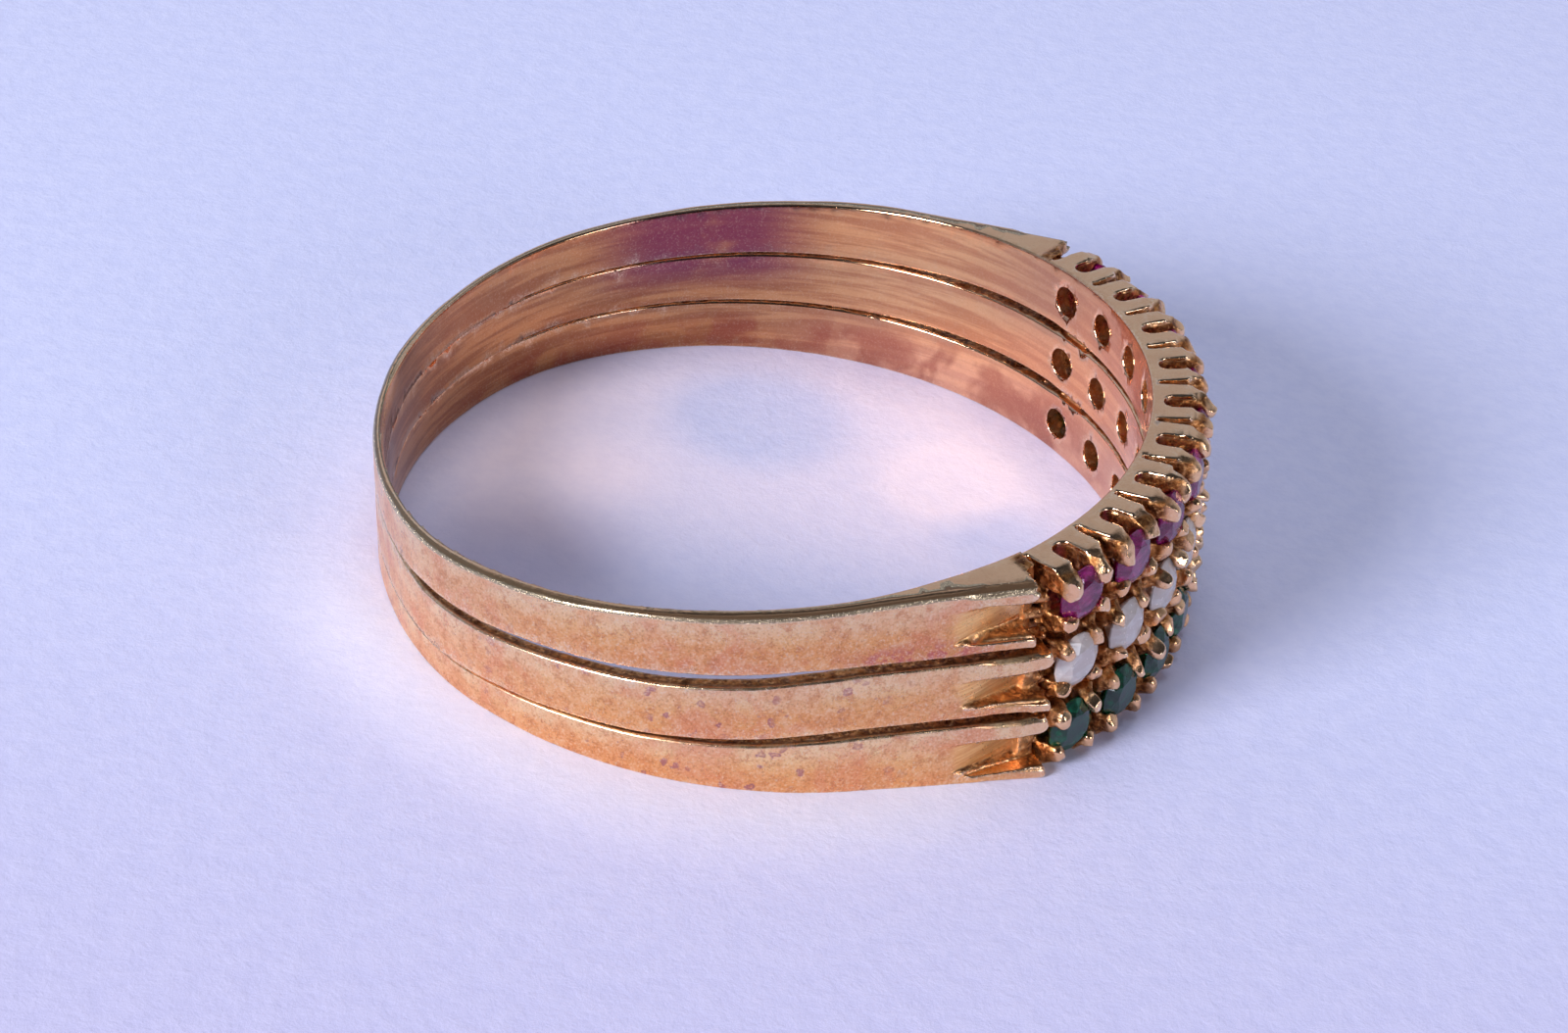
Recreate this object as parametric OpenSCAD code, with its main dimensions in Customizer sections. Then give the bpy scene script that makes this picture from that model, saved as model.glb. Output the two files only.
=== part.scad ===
// Three-row gemstone ring, lying on its side.
// The ring is drawn in its own frame first: Z along the finger hole, X towards the middle of the
// stone-set head, and the middle plane of the ring at Z = 0. ring_at_rest() then tips it by half its
// taper, so that the side it rests on lies flat in the plane Z = 0.

/* [Finger hole] */
// Diameter of the finger hole
bore_d = 17.3; // [15:0.1:20]

/* [Bands] */
// Width of the three bands together, where X is 0
mid_w = 4.2; // [3.8:0.1:4.8]
// Growth of that width for each mm towards the head
taper = 0.12; // [0.08:0.01:0.13]
// Wall of the bands at the sides of the finger
wall = 0.38; // [0.34:0.02:0.6]
// How much thinner that wall is worn at the back of the finger
back_wear = 0.1; // [0:0.02:0.12]
// Widest part of the slits between the bands
slit_w = 0.22; // [0.16:0.02:0.3]
// X at which the bands part
slit_start = -6.8; // [-7.4:0.1:-5]

/* [Shoulders] */
// Angle from the head's middle at which the flat shoulders leave the round
shoulder_deg = 71.5; // [70:0.5:74]
// Length of the notch cut into each shoulder
notch_len = 2.0; // [1.4:0.1:2.4]
// Thickness of each band's upper fork
upper_fork = 0.46; // [0.38:0.02:0.5]
// Thickness of each band's lower fork
lower_fork = 0.3; // [0.24:0.02:0.36]

/* [Stones] */
// Stones in each row
row_count = 9; // [8:1:9]
// Angle from one stone to the next
stone_deg = 10.1; // [10:0.1:10.3]
// Girdle diameter of a stone
stone_d = 1.3; // [1.24:0.02:1.36]
// Gap between a stone and its seat
seat_gap = 0.03; // [0.02:0.01:0.05]

/* [Claws] */
// Height of the claws above the finger hole
claw_h = 1.5; // [1.4:0.05:1.6]
// Wall left under the saw cuts
rail_wall = 0.15; // [0.14:0.01:0.24]
// Width of the windows cut under each stone
window_w = 0.46; // [0.4:0.02:0.5]
// Width of the channel that parts the claws on the two sides of a row
channel_w = 0.56; // [0.5:0.02:0.7]

/* [Hidden] */
$fn = 96;

bore_r = bore_d / 2;
shank_r = bore_r + wall;
head_r = bore_r + claw_h;
half_head_deg = row_count * stone_deg / 2;
reach = head_r + 2;
tall = 12;

// The flat shoulder's distance from the finger hole's axis, and where it ends at the head
flat_r = shank_r + back_wear * cos(shoulder_deg);
tip_along = flat_r * tan(shoulder_deg - half_head_deg);
head_x = flat_r / cos(shoulder_deg - half_head_deg) * cos(half_head_deg);

// Tip of the ring that brings its lower side flat onto the surface
tip_deg = atan(taper / 2);
rest_lift = mid_w / 2 * cos(tip_deg);
bore_shift = mid_w / 2 * sin(tip_deg);

// Stone proportions as shares of its diameter
table_share = 0.56;
crown_share = 0.15;
girdle_share = 0.03;
pavilion_share = 0.43;
girdle_r = bore_r + 1.1;
azure_share = 0.29;
lip_share = 0.8;
lip_rise = 0.55;
star_share = 0.8;
low_share = 0.28;
stone_turn = 17;
row_turn = 11;

// How the slits widen from their closed start, and how narrow they are between the claws
slit_tip = 0.02;
slit_half_at = 2.2;
slit_full_at = 4.4;
slit_early = 0.7;
head_blend = 0.4;
claw_slit = 0.12;
seam_w = 0.08;
seam_depth = 0.1;

// Notch: its floor above the finger hole, the steepness of its slope, and how far the slope's upper
// end lies nearer to the head than its lower end
notch_floor = 0.6;
slope_deg = 20;
slope_turn = 10;

// Heights of the solder webs and of the channel's floor above the finger hole
web_in = 0.2;
web_out = 0.62;
channel_in = 0.78;

// Widths of a saw cut at its end, at its knee and between the claws' tips
saw_in = 0.14;
saw_mid = 0.2;
saw_out = 0.46;
knee_h = 0.45;
window_floor = 0.11;
window_flare = 1.25;

ROWS = [["ruby", 1, "#a01a6a"], ["white", 0, "#e6e2ea"], ["emerald", -1, "#0f5a3c"]];

// Half the width of the three bands together at a given X
function half_w(x) = (mid_w + taper * x) / 2;

// Middle of the slit on one side: 1 above the middle band, -1 below it
function slit_z(x, side) = side * half_w(x) / 3;

// Middle, top and bottom of one band: 1 is the upper band, 0 the middle one and -1 the lower one
function row_z(x, row) = row * half_w(x) * 2 / 3;
function band_top(x, row) = row > 0 ? half_w(x) : slit_z(x, 2 * row + 1) - slit_w / 2;
function band_bottom(x, row) = row < 0 ? -half_w(x) : slit_z(x, 2 * row - 1) + slit_w / 2;
function stone_angle(i) = (i - (row_count + 1) / 2) * stone_deg;

// A wall in the XZ plane, drawn from points and carried through along Y
module across(points) {
    rotate([90, 0, 0])
        linear_extrude(height = 2 * reach, center = true)
            polygon(points);
}

// A strip that follows a slit's middle line, with a half width given at each X
module slit_strip(side, stations) {
    lower = [for (s = stations) [s[0], slit_z(s[0], side) - s[1]]];
    upper = [for (s = stations) [s[0], slit_z(s[0], side) + s[1]]];
    across(concat(lower, [for (k = [len(upper) - 1 : -1 : 0]) upper[k]]));
}

// Outline of the ring in plan: round at the back, flat along the shoulders, round at the head
module plan_outline() {
    corner_x = flat_r / cos(shoulder_deg);
    touch = [back_wear, 0] + shank_r * [cos(shoulder_deg), sin(shoulder_deg)];
    translate([back_wear, 0]) circle(r = shank_r);
    intersection() {
        circle(r = head_r);
        polygon([[0, 0], [touch[0], -touch[1]], [corner_x, 0], touch]);
    }
}

// The three bands as one blank, tapered towards the back of the finger
module ring_blank() {
    intersection() {
        linear_extrude(height = tall, center = true) plan_outline();
        across([
            [-reach, -half_w(-reach)],
            [reach, -half_w(reach)],
            [reach, half_w(reach)],
            [-reach, half_w(-reach)]
        ]);
    }
}

module finger_hole() {
    cylinder(r = bore_r, h = tall, center = true);
}

// The open slits between the bands
module slits() {
    full = slit_w / 2;
    for (side = [-1, 1]) {
        slit_strip(side, [
            [slit_start, slit_tip / 2],
            [slit_start + slit_half_at, full * slit_early],
            [slit_start + slit_full_at, full],
            [head_x, full],
            [head_x + head_blend, claw_slit / 2],
            [reach, claw_slit / 2]
        ]);
    }
}

// The solder seams at the back of the finger, where the bands touch
module seams() {
    difference() {
        for (side = [-1, 1]) {
            slit_strip(side, [[-reach, seam_w / 2], [slit_start + head_blend, seam_w / 2]]);
        }
        translate([back_wear, 0, 0]) cylinder(r = shank_r - seam_depth, h = tall, center = true);
    }
}

// The webs of solder that tie the rows of claws together, sunk from both faces
module webs() {
    intersection() {
        difference() {
            cylinder(r = bore_r + web_out, h = tall, center = true);
            cylinder(r = bore_r + web_in, h = tall, center = true);
        }
        for (side = [-1, 1]) {
            slit_strip(side, [[head_x - head_blend, slit_w], [reach, slit_w]]);
        }
    }
}

// The room the notches may take: outside the rail, and on the shoulder's side of the head
module notch_room(bottom, top) {
    difference() {
        translate([0, -reach, bottom]) cube([reach, reach, top - bottom]);
        cylinder(r = bore_r + notch_floor, h = tall, center = true);
        rotate([0, 0, -half_head_deg])
            translate([0, 0, -tall / 2])
                cube([2 * reach, reach, tall]);
    }
}

// The notch between the two forks of one band's shoulder, on the side of negative Y
// It is one slope that goes down from its apex to the head, against the lower fork's upper face
module shoulder_notch(row) {
    bottom = band_bottom(head_x, row) + lower_fork;
    top = band_top(head_x, row) - upper_fork;
    intersection() {
        rotate([0, 0, 90 - shoulder_deg])
            translate([tip_along - notch_len, -flat_r, bottom])
                rotate([0, slope_turn, 0])
                    rotate([0, 0, slope_deg])
                        translate([0, -tall / 2, -tall / 2])
                            cube([tall, tall / 2, tall]);
        notch_room(bottom, top);
    }
}

// A thin saw cut between two stones, opening outwards between their claws
module saw_cut() {
    inner = bore_r + rail_wall;
    knee = inner + knee_h;
    flare = (saw_out - saw_mid) * (reach - knee) / (head_r - knee);
    outer_w = saw_mid + flare;
    linear_extrude(height = tall, center = true)
        polygon([
            [inner, -saw_in / 2],
            [knee, -saw_mid / 2],
            [reach, -outer_w / 2],
            [reach, outer_w / 2],
            [knee, saw_mid / 2],
            [inner, saw_in / 2]
        ]);
}

// The round-ended window under a stone, through both walls of its row
module stone_window() {
    half = window_w / 2;
    centre = bore_r + rail_wall + window_floor + half;
    linear_extrude(height = tall, center = true) {
        translate([centre, 0]) circle(r = half);
        polygon([
            [centre, -half],
            [reach, -half * window_flare],
            [reach, half * window_flare],
            [centre, half]
        ]);
    }
}

// The channel along the middle of one row, which leaves each claw standing on its own
module claw_channel(row) {
    half = channel_w / 2;
    low = bore_r + channel_in;
    difference() {
        across([
            [head_x - head_blend, row_z(head_x - head_blend, row) - half],
            [reach, row_z(reach, row) - half],
            [reach, row_z(reach, row) + half],
            [head_x - head_blend, row_z(head_x - head_blend, row) + half]
        ]);
        cylinder(r = low, h = tall, center = true);
        for (side = [-1, 1]) {
            rotate([0, 0, side * (half_head_deg + 90)])
                translate([0, -reach, -tall / 2])
                    cube([2 * reach, 2 * reach, tall]);
        }
    }
}

// Moves a shape drawn with its axis along Z, and its girdle at Z = 0, to a stone's place
module at_stone(row, i) {
    angle = stone_angle(i);
    rotate([0, 0, angle])
        translate([girdle_r, 0, row_z(girdle_r * cos(angle), row)])
            rotate([0, 90, 0])
                children();
}

// The seat of one stone: a hole from inside the ring, a cone, and the lip of the claws above it
module seat() {
    r = stone_d / 2 + seat_gap;
    hole_r = stone_d * azure_share;
    half_girdle = stone_d * girdle_share / 2 + seat_gap;
    cone_h = (r - hole_r) * pavilion_share * 2;
    lip_h = stone_d * crown_share * lip_rise;
    rotate_extrude()
        polygon([
            [0, -2],
            [hole_r, -2],
            [hole_r, -half_girdle - cone_h],
            [r, -half_girdle],
            [r, half_girdle],
            [r * lip_share, half_girdle + lip_h],
            [r * lip_share, 2],
            [0, 2]
        ]);
}

// All the gold: three bands soldered into one, with the claws cut from their heads
module gold_ring_metal() {
    difference() {
        union() {
            difference() {
                ring_blank();
                slits();
                seams();
            }
            webs();
        }
        finger_hole();
        for (row = [-1 : 1]) {
            shoulder_notch(row);
            mirror([0, 1, 0]) shoulder_notch(row);
            claw_channel(row);
            for (i = [1 : row_count]) at_stone(row, i) seat();
        }
        for (k = [0 : row_count]) {
            rotate([0, 0, k * stone_deg - half_head_deg]) saw_cut();
        }
        for (i = [1 : row_count]) {
            rotate([0, 0, stone_angle(i)]) stone_window();
        }
    }
}

// A ring of points round the stone's axis
function ring_points(n, start, r, h) =
    [for (k = [0 : n - 1]) [r * cos(start + k * 360 / n), r * sin(start + k * 360 / n), h]];

// A round brilliant with its girdle in the plane Z = 0: table, 8 stars, 8 kites and 16 crown
// facets above, 8 mains and 16 lower facets below
module brilliant() {
    r = stone_d / 2;
    table_r = r * table_share;
    top = stone_d * (girdle_share / 2 + crown_share);
    girdle_top = stone_d * girdle_share / 2;
    culet = -stone_d * (girdle_share / 2 + pavilion_share);
    star_r = r * star_share;
    star_h = top + (girdle_top - top) * (star_r * cos(22.5) - table_r) / (r - table_r);
    low_r = r * low_share;
    low_h = -girdle_top + (culet + girdle_top) * (r - low_r * cos(22.5)) / r;
    points = concat(
        ring_points(8, 0, table_r, top),
        ring_points(8, 22.5, star_r, star_h),
        ring_points(16, 0, r, girdle_top),
        ring_points(16, 0, r, -girdle_top),
        ring_points(8, 22.5, low_r, low_h),
        [[0, 0, culet]]
    );
    star = 8;
    upper = 16;
    lower = 32;
    low = 48;
    tip = 56;
    faces = concat(
        [[7, 6, 5, 4, 3, 2, 1, 0]],
        [for (k = [0 : 7]) [k, (k + 1) % 8, star + k]],
        [for (k = [0 : 7]) [k, star + k, upper + 2 * k, star + (k + 7) % 8]],
        [for (k = [0 : 7]) [star + k, upper + 2 * k + 1, upper + 2 * k]],
        [for (k = [0 : 7]) [star + k, upper + (2 * k + 2) % 16, upper + 2 * k + 1]],
        [for (k = [0 : 15]) [upper + k, upper + (k + 1) % 16, lower + (k + 1) % 16, lower + k]],
        [for (k = [0 : 7]) [low + k, lower + 2 * k, lower + 2 * k + 1]],
        [for (k = [0 : 7]) [low + k, lower + 2 * k + 1, lower + (2 * k + 2) % 16]],
        [for (k = [0 : 7]) [tip, low + (k + 7) % 8, lower + 2 * k, low + k]]
    );
    polyhedron(points = points, faces = faces);
}

// Tips the ring onto its side, with the finger hole's axis meeting Z = 0 at the origin
module ring_at_rest() {
    translate([-bore_shift, 0, rest_lift])
        rotate([0, -tip_deg, 0])
            children();
}

module gold_ring() {
    color("#c98f5e") ring_at_rest() gold_ring_metal();
}

// One stone of a row, turned a little about its own axis so that no two sit quite alike
module stone(row, i) {
    turn = (i * stone_turn + (row[1] + 1) * row_turn) % 45;
    color(row[2]) ring_at_rest() at_stone(row[1], i) rotate([0, 0, turn]) brilliant();
}

gold_ring();
for (row = ROWS) {
    for (i = [1 : row_count]) {
        stone(row, i);
    }
}
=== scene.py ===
"""Three-row gemstone ring on its side: worn gold bands, claws, solder and round stones on pale paper."""
import math
import random

import bmesh
import bpy
import numpy as np
from mathutils import Euler, Matrix, Vector


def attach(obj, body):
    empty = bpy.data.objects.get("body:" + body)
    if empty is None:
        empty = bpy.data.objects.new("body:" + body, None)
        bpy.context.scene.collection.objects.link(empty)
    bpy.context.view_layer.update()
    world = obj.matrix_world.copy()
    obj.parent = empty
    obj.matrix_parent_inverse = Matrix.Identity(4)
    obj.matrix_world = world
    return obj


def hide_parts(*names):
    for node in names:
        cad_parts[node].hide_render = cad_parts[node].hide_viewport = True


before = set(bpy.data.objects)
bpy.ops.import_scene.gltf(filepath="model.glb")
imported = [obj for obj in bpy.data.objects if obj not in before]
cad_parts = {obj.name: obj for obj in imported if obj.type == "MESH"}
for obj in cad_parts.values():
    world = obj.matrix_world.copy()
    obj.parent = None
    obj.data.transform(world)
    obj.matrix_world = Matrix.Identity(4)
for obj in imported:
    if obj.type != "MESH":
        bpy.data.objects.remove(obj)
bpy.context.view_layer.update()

# Sizes of the ring in mm, in its own frame: Z runs along the finger hole, X to the middle of the head
HOLE_R = 8.65
BAND_R = 9.03
BACK_WEAR = 0.1
MID_WIDTH = 4.2
TAPER = 0.12
CHANNEL_R = 9.43
CLAW_R = 10.15
SHOULDER = math.radians(71.5)
HALF_HEAD = math.radians(45.45)
FLAT_R = BAND_R + BACK_WEAR * math.cos(SHOULDER)
STONES = 9
STONE_STEP = math.radians(10.1)
UPPER_FORK = 0.46
LOWER_FORK = 0.3

# The claws: their turn from their stone's middle, and half the channel that parts them. Then, each from
# least to most: how far they lean over the stone across and along the row, the radius where they end and
# where their rounding starts, and half the width and height of their ends
CLAW_TURN = 0.0475
CHANNEL_HALF = 0.28
CLAW_LEAN = (0.06, 0.16)
CLAW_INWARD = (-0.02, 0.06)
CLAW_END = (10.0, 10.16)
CLAW_START = (9.74, 9.86)
CLAW_WIDE = (0.17, 0.22)
CLAW_TALL = (0.19, 0.26)

# The power that rounds the claws' ends, 2 for a ball, the number of worn facets on each, and how far from
# its middle they lie, as a share of its size, from least to most
CLAW_POWER = 2.5
CLAW_FACETS = 5
FACET_AT = (0.68, 0.95)

# Each band's notch: where its slope begins, how its start leans, how fast it sinks and how deep it gets
NOTCH_START = {1: 2.1, 0: 2.31, -1: 2.23}
NOTCH_LEAN = 0.34
NOTCH_RATE = 0.41
NOTCH_MOST = 0.66

# The arms' ends: the way they face, their distance from the axis, and how far each band's reach beyond it
END_WAY = (math.sin(math.radians(53.65)), -math.cos(math.radians(53.65)))
END_AT = 1.22
ARM_REACH = {1: -0.26, 0: 0.17, -1: 0.17}

# The forks' worn corners: the bevel above, then the radius of the upper and of the lower corner of their
# ends. FORK_BEVEL is the bevel below.
UPPER_CORNERS = {1: (0.16, 0.12, 0.2), 0: (0.07, 0.18, 0.26), -1: (0.07, 0.18, 0.26)}
LOWER_CORNERS = (0.05, 0.11, 0.1)
FORK_BEVEL = 0.03

# Radii of the bands' worn edges, how far the upper rim flares inwards, and how far the back is bent in
RIM_EDGE = 0.17
UPPER_EDGE = 0.07
LOWER_EDGE = 0.05
INNER_EDGE = 0.06
LEAST_EDGE = 0.01
RIM_FLARE = 0.1
BACK_BEND = 0.28

# How rough the hollows and the claws' tips are, how uneven the whole surface is, and how uneven a bead is
HOLLOW_ROUGH = 0.038
TIP_ROUGH = 0.014
UNEVEN = 0.008
BEAD_ROUGH = 0.14

# Lines count in sixths of the width from the ring's middle: 1 and -1 are the slits, 3 and -3 the edges.
# Half the opening of a slit, by X: as drawn in the CAD, on the far side, and in front by the slit's line
SLIT_HALF = {
    "drawn": ((-6.8, 0.01), (-4.6, 0.077), (-2.4, 0.11), (6.35, 0.11), (6.75, 0.06)),
    "far": ((-6.9, -0.02), (-6.5, 0.015), (1, 0.03), (4, 0.085), (6.35, 0.11), (6.75, 0.06)),
    1: ((-7.4, -0.02), (-7.0, 0.02), (-6.5, 0.11), (-4, 0.135), (-3, 0.135), (-1, 0.155), (1, 0.16),
        (2, 0.14), (3, 0.115), (6.35, 0.11), (6.75, 0.06)),
    -1: ((-6.3, -0.02), (-5.7, 0.01), (-4.5, 0.02), (-2.5, 0.032), (-1, 0.05), (0, 0.065), (1, 0.08),
         (2, 0.095), (3, 0.11), (6.35, 0.11), (6.75, 0.06)),
}

# How far each line strays upwards from its even height in front, by X
STRAY = {
    3: ((-7, -0.14), (-6, -0.1), (-4.5, -0.02), (-3, 0.03), (-1, 0.1), (1, 0.13), (3, 0.14), (4.5, 0.13),
        (6.5, 0.04)),
    1: ((-8.5, -0.1), (-6.5, -0.27), (-5, -0.26), (-4, -0.2), (-3, -0.16), (-1, -0.14), (0, -0.1),
        (1, -0.05), (2, 0.03), (3, 0.05), (4.5, 0.02), (6, 0)),
    -1: ((-8.5, -0.3), (-6.5, -0.48), (-5.5, -0.44), (-4.5, -0.39), (-3, -0.34), (-1.5, -0.31),
         (0, -0.235), (1, -0.18), (2, -0.09), (3, -0.03), (4.5, 0)),
    -3: ((0, 0),),
}

# The ring's own frame tipped onto its side, and from mm to metres
TIP = math.atan(TAPER / 2)
TO_REST = (
    Matrix.Scale(0.001, 4)
    @ Matrix.Translation((-MID_WIDTH / 2 * math.sin(TIP), 0, MID_WIDTH / 2 * math.cos(TIP)))
    @ Matrix.Rotation(-TIP, 4, "Y")
)

# The bands' rows by name, and how finely they are made
BANDS = {"band_upper": 1, "band_middle": 0, "band_lower": -1}
VOXEL = 0.028
BAND_TRIANGLES = 190000


# Shape of the bands, worked out for arrays of points in the ring's own frame


def ease(value, low, high):
    """Goes smoothly from 0 at low to 1 at high."""
    t = np.clip((value - low) / (high - low), 0, 1)
    return t * t * (3 - 2 * t)


def lumps(points, size, seed):
    """Smooth noise from -1 to 1 at each point, with lumps of the given size."""
    at = points / size + seed * 7.31
    cell = np.floor(at).astype(np.int64)
    t = at - cell
    t = t * t * (3 - 2 * t)
    total = np.zeros(len(points))
    for corner in np.ndindex(2, 2, 2):
        c = cell + corner
        code = (c[:, 0] * 73856093) ^ (c[:, 1] * 19349663) ^ (c[:, 2] * 83492791) ^ (seed * 2654435)
        code = ((code ^ (code >> 13)) * 1274126177) & 0x7FFFFFFF
        value = ((code ^ (code >> 15)) & 0xFFFF) / 32767.5 - 1
        share = np.where(corner, t, 1 - t).prod(1)
        total += share * value
    return total


def half_width(x):
    """Half the width of the three bands together."""
    return (MID_WIDTH + TAPER * x) / 2


def read_off(x, table):
    """The value at x in a table of pairs, straight between them."""
    return np.interp(x, *zip(*table))


def in_front(p):
    """From 0 on the side of positive Y to 1 on the side of negative Y, which faces the photo's camera."""
    return ease(p[:, 1], 1.0, -1.0)


def worn_half(p, line):
    """Half the opening of a slit, wider in front than on the far side."""
    front = in_front(p)
    return front * read_off(p[:, 0], SLIT_HALF[line]) + (1 - front) * read_off(p[:, 0], SLIT_HALF["far"])


def strayed(p, line):
    """How far a line strays at each point; it keeps its even height on the far side and on the head."""
    return in_front(p) * read_off(p[:, 0], STRAY[line]) * (plan_of(p)[0] > HALF_HEAD)


def band_faces(p, row):
    """Heights of one band's upper and lower side."""
    third = half_width(p[:, 0]) / 3
    upper, lower = 2 * row + 1, 2 * row - 1
    top = third * upper + strayed(p, upper) - (0 if row == 1 else worn_half(p, upper))
    bottom = third * lower + strayed(p, lower) + (0 if row == -1 else worn_half(p, lower))
    return top, bottom


def worn_slits(p, row):
    """Moves a band's sides from the CAD's even slits to the uneven ones of the photo."""
    third, x = half_width(p[:, 0]) / 3, p[:, 0]
    upper, lower = 2 * row + 1, 2 * row - 1
    share = np.clip((p[:, 2] / third - lower) / 2, 0, 1)
    z = p[:, 2] + (1 - share) * strayed(p, lower) + share * strayed(p, upper)
    for up, line in ((1, upper), (-1, lower)):
        if abs(line) == 1:
            near = ease(np.abs(p[:, 2] - third * line), 0.45, 0.2)
            z += up * near * (read_off(x, SLIT_HALF["drawn"]) - worn_half(p, line))
    return np.stack([x, p[:, 1], z], 1)


def bent_in(p):
    """Bends the back of the ring in a little, since the real one is out of round."""
    return p + (BACK_BEND * ease(p[:, 0], -5.5, -9.2))[:, None] * (1, 0, 0)


def plan_of(p):
    """Angle from the head's middle, distance from the finger hole's axis, and side, at each point."""
    angle = np.abs(np.arctan2(p[:, 1], p[:, 0]))
    return angle, np.hypot(p[:, 0], p[:, 1]), np.where(p[:, 1] < 0, -1.0, 1.0)


def in_plan(x, y, side):
    """Directions in plan, given on the side of positive Y, on each point's own side."""
    return np.stack([x + 0 * side, y * side, 0 * side], 1)


def outer_wall(p):
    """How far points stand outside the outer wall, and the wall's direction there."""
    angle, r, side = plan_of(p)
    x, y = p[:, 0], np.abs(p[:, 1])
    round_r = np.hypot(x - BACK_WEAR, y)
    far = round_r - BAND_R
    nx, ny = (x - BACK_WEAR) / round_r, y / round_r
    flat = (angle < SHOULDER) & (angle > HALF_HEAD)
    far = np.where(flat, x * math.cos(SHOULDER) + y * math.sin(SHOULDER) - FLAT_R, far)
    nx = np.where(flat, math.cos(SHOULDER), nx)
    ny = np.where(flat, math.sin(SHOULDER), ny)
    head = angle <= HALF_HEAD
    far = np.where(head, r - CLAW_R, far)
    nx, ny = np.where(head, x / r, nx), np.where(head, y / r, ny)
    return far, in_plan(nx, ny, side)


def pressed(p, n, faces, radius, keep, depth_most):
    """Presses points near a solid's faces onto them, with its edges rounded; keep is from 0 to 1."""
    far = np.stack([f[0] for f in faces])
    ways = np.stack([f[1] for f in faces])
    inner = far + radius
    out = np.maximum(inner, 0)
    length = np.sqrt((out ** 2).sum(0))
    nearest = np.arange(len(faces))[:, None] == inner.argmax(0)
    corner = length > 0
    depth = np.where(corner, length, inner.max(0)) - radius
    share = np.where(corner, out / np.maximum(length, 1e-9), nearest)
    way = (share[:, :, None] * ways).sum(0)
    agree = ease((n * way).sum(1), 0.2, 0.6)
    near = np.clip((depth + 0.045) / 0.03, 0, 1) * np.clip((depth_most - depth) / 0.03, 0, 1)
    return p - (near * keep * agree * depth)[:, None] * way


def rolled(first, second, radius):
    """Two faces as one, with the edge between them rounded."""
    inner = np.stack([first[0], second[0]]) + radius
    out = np.maximum(inner, 0)
    length = np.sqrt((out ** 2).sum(0))
    corner = length > 0
    pick = np.stack([inner[0] >= inner[1], inner[0] < inner[1]])
    share = np.where(corner, out / np.maximum(length, 1e-9), pick)
    far = np.where(corner, length, inner.max(0)) - radius
    return far, share[0][:, None] * first[1] + share[1][:, None] * second[1]


def bevelled(first, second, leg):
    """The flat bevel between two faces."""
    return (first[0] + second[0] + leg) / math.sqrt(2), (first[1] + second[1]) / math.sqrt(2)


def along_arm(p):
    """How far along its flat shoulder each point lies, and how far beyond the arm's end."""
    x, y = p[:, 0], np.abs(p[:, 1])
    return x * math.sin(SHOULDER) - y * math.cos(SHOULDER), x * END_WAY[0] + y * END_WAY[1] - END_AT


def notch_lines(p, row):
    """Heights of a notch's lower and upper side, and how far each point lies past its slope's start."""
    top, bottom = band_faces(p, row)
    low, high = bottom + LOWER_FORK, top - UPPER_FORK
    return low, high, along_arm(p)[0] - NOTCH_START[row] - (p[:, 2] - low) * NOTCH_LEAN


def in_notch(p, row):
    """From 0 to 1 between the two forks of a shoulder, and how far each point lies past its slope's start."""
    angle, r, _ = plan_of(p)
    low, high, begin = notch_lines(p, row)
    between = ease(p[:, 2], low - 0.03, low + 0.03) * ease(p[:, 2], high + 0.03, high - 0.03)
    return between * (angle > HALF_HEAD) * (r > 9.2), begin


def true_up(p, n, row):
    """Brings points that lie near a band's faces onto them, and rounds its edges and its arms' tips."""
    angle, r, side = plan_of(p)
    past = along_arm(p)[1] - ARM_REACH[row] * 0.95
    up = np.zeros_like(p)
    up[:, 2] = 1
    outside = outer_wall(p)
    top, bottom = band_faces(p, row)
    flare = RIM_FLARE * in_front(p) * ease(p[:, 2], top - 0.5, top) * ease(angle, 0.9, 1.3) * (row == 1)
    inside = (HOLE_R + flare - r, -in_plan(p[:, 0] / r, np.abs(p[:, 1]) / r, side))
    above, below = (p[:, 2] - top, up), (bottom - p[:, 2], -up)
    open_up = 1 if row == 1 else ease(worn_half(p, 2 * row + 1), 0, 0.03)
    open_down = 1 if row == -1 else ease(worn_half(p, 2 * row - 1), 0, 0.03)
    is_upper = above[0] > below[0]
    upper_edge = (RIM_EDGE if row == 1 else UPPER_EDGE) * (1 + 0.2 * lumps(p, 0.7, 3))
    edge = np.where(is_upper, upper_edge * open_up, LOWER_EDGE * open_down)
    edge = np.where(outside[0] > inside[0], edge, INNER_EDGE * np.where(is_upper, open_up, open_down))
    edge = np.maximum(edge, LEAST_EDGE)
    notch, begin = in_notch(p, row)
    body = ease(angle, HALF_HEAD, HALF_HEAD + 0.02) * (1 - notch * ease(begin, -0.3, -0.1))
    rail = ease(r, 8.95, 8.85)
    p = pressed(p, n, [outside, inside, above, below], edge, np.maximum(body, rail), 0.2)
    end = (past, in_plan(*END_WAY, side))
    arm = (outer_wall(p)[0] > -0.45) * (angle > HALF_HEAD - 0.03) * (r > 9.3)
    upper = (top - UPPER_FORK, top, *UPPER_CORNERS[row])
    lower = (bottom, bottom + LOWER_FORK, *LOWER_CORNERS)
    for low, high, bevel, high_corner, low_corner in (upper, lower):
        over = rolled((p[:, 2] - high, up), end, high_corner)
        under = rolled((low - p[:, 2], -up), end, low_corner)
        is_over = p[:, 2] > (low + high) / 2
        rim = (np.where(is_over, over[0], under[0]), np.where(is_over[:, None], over[1], under[1]))
        slant = bevelled(outer_wall(p), rim, np.where(is_over, bevel, FORK_BEVEL))
        fork = arm * ease(past, -1.6, -1.2) * (p[:, 2] > low - 0.08) * (p[:, 2] < high + 0.08)
        p = pressed(p, n, [outer_wall(p), rim, slant], 0.04, fork, 0.24)
    return p


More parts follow.
